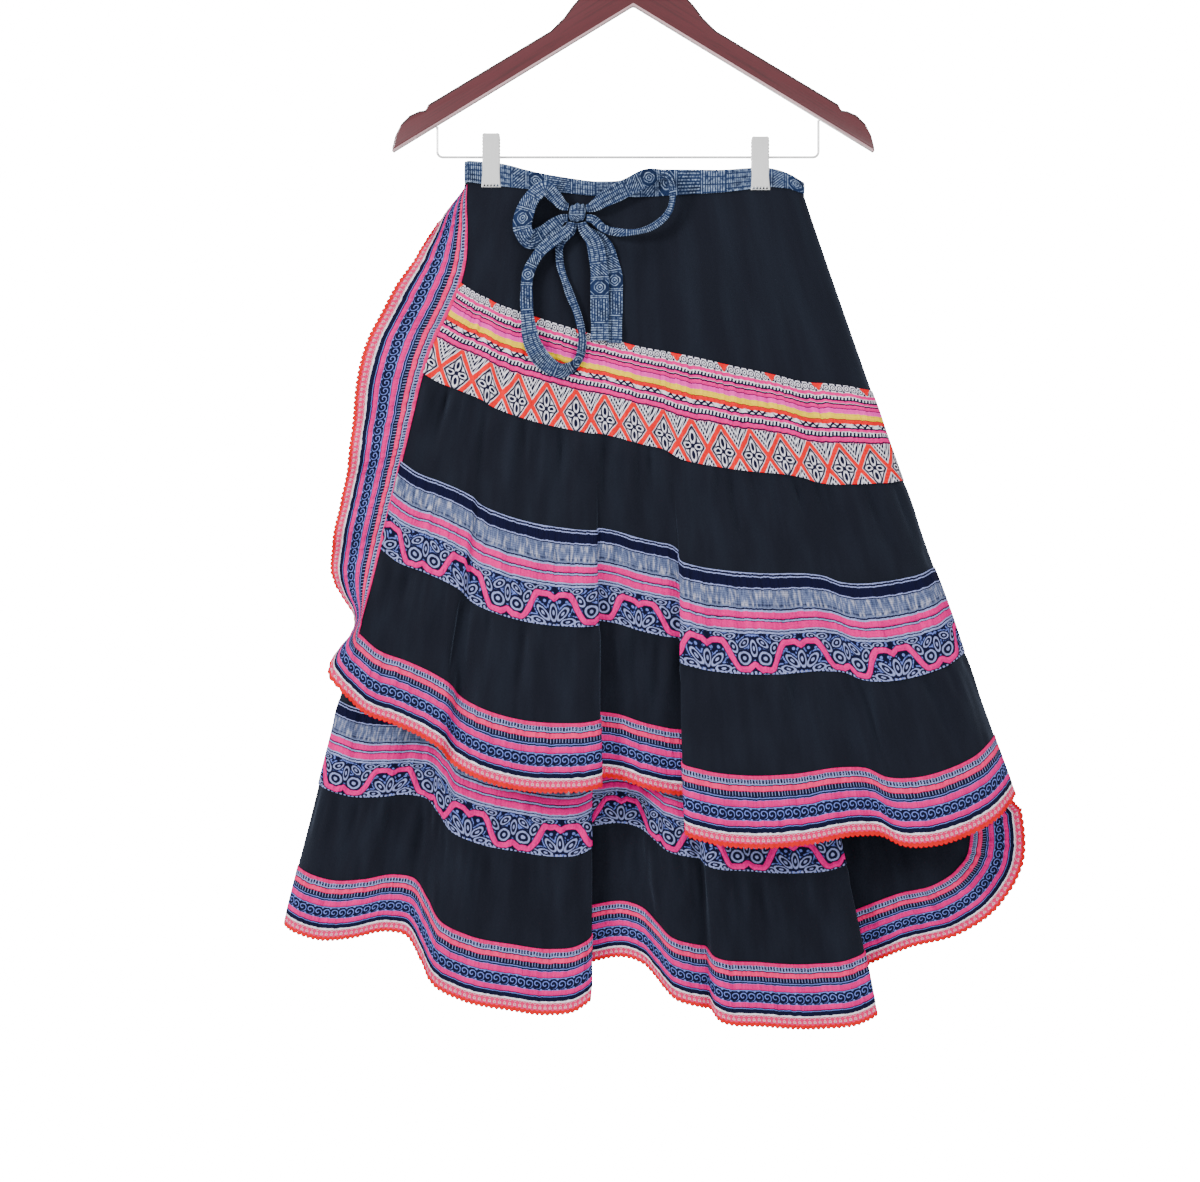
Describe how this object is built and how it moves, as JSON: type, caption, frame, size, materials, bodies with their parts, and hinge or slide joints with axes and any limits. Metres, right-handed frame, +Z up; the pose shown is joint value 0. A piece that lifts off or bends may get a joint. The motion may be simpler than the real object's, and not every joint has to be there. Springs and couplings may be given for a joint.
{
  "type": "wrap skirt on a clip hanger",
  "caption": "tiered wrap skirt with batik bands, striped border, lace edge and a tie bow, hanging by its waistband from a wooden clip hanger",
  "frame": {"origin": "the inner top of the hanger's hook, where it rests on a rail", "axes": "+Z up, the skirt's front faces -Y, +X to the viewer's right"},
  "size_m": [0.6854, 0.1057, 1.0521],
  "materials": {
    "black_cotton": "matte",
    "pink_batik": "matte",
    "blue_batik": "matte",
    "indigo_batik": "matte",
    "border_stripe": "matte",
    "lace_red": "matte",
    "dark_wood": "satin lacquer",
    "bright_metal": "polished"
  },
  "bodies": {
    "root": {"waistband": "indigo_batik", "yoke": "black_cotton", "upper_band": "pink_batik", "middle_tier": "black_cotton", "batik_band": "blue_batik", "lower_tier": "black_cotton", "border": "border_stripe", "lace_trim": "lace_red", "tie_knot": "indigo_batik", "tie_loop_left": "indigo_batik", "tie_loop_right": "indigo_batik", "tie_hanging_loop": "indigo_batik", "tie_tail_front": "indigo_batik", "tie_tail_back": "indigo_batik", "hanger_arms": "dark_wood", "hook": "bright_metal", "clip_bar": "bright_metal", "clip_left": "bright_metal", "clip_right": "bright_metal"}
  },
  "joints": []
}
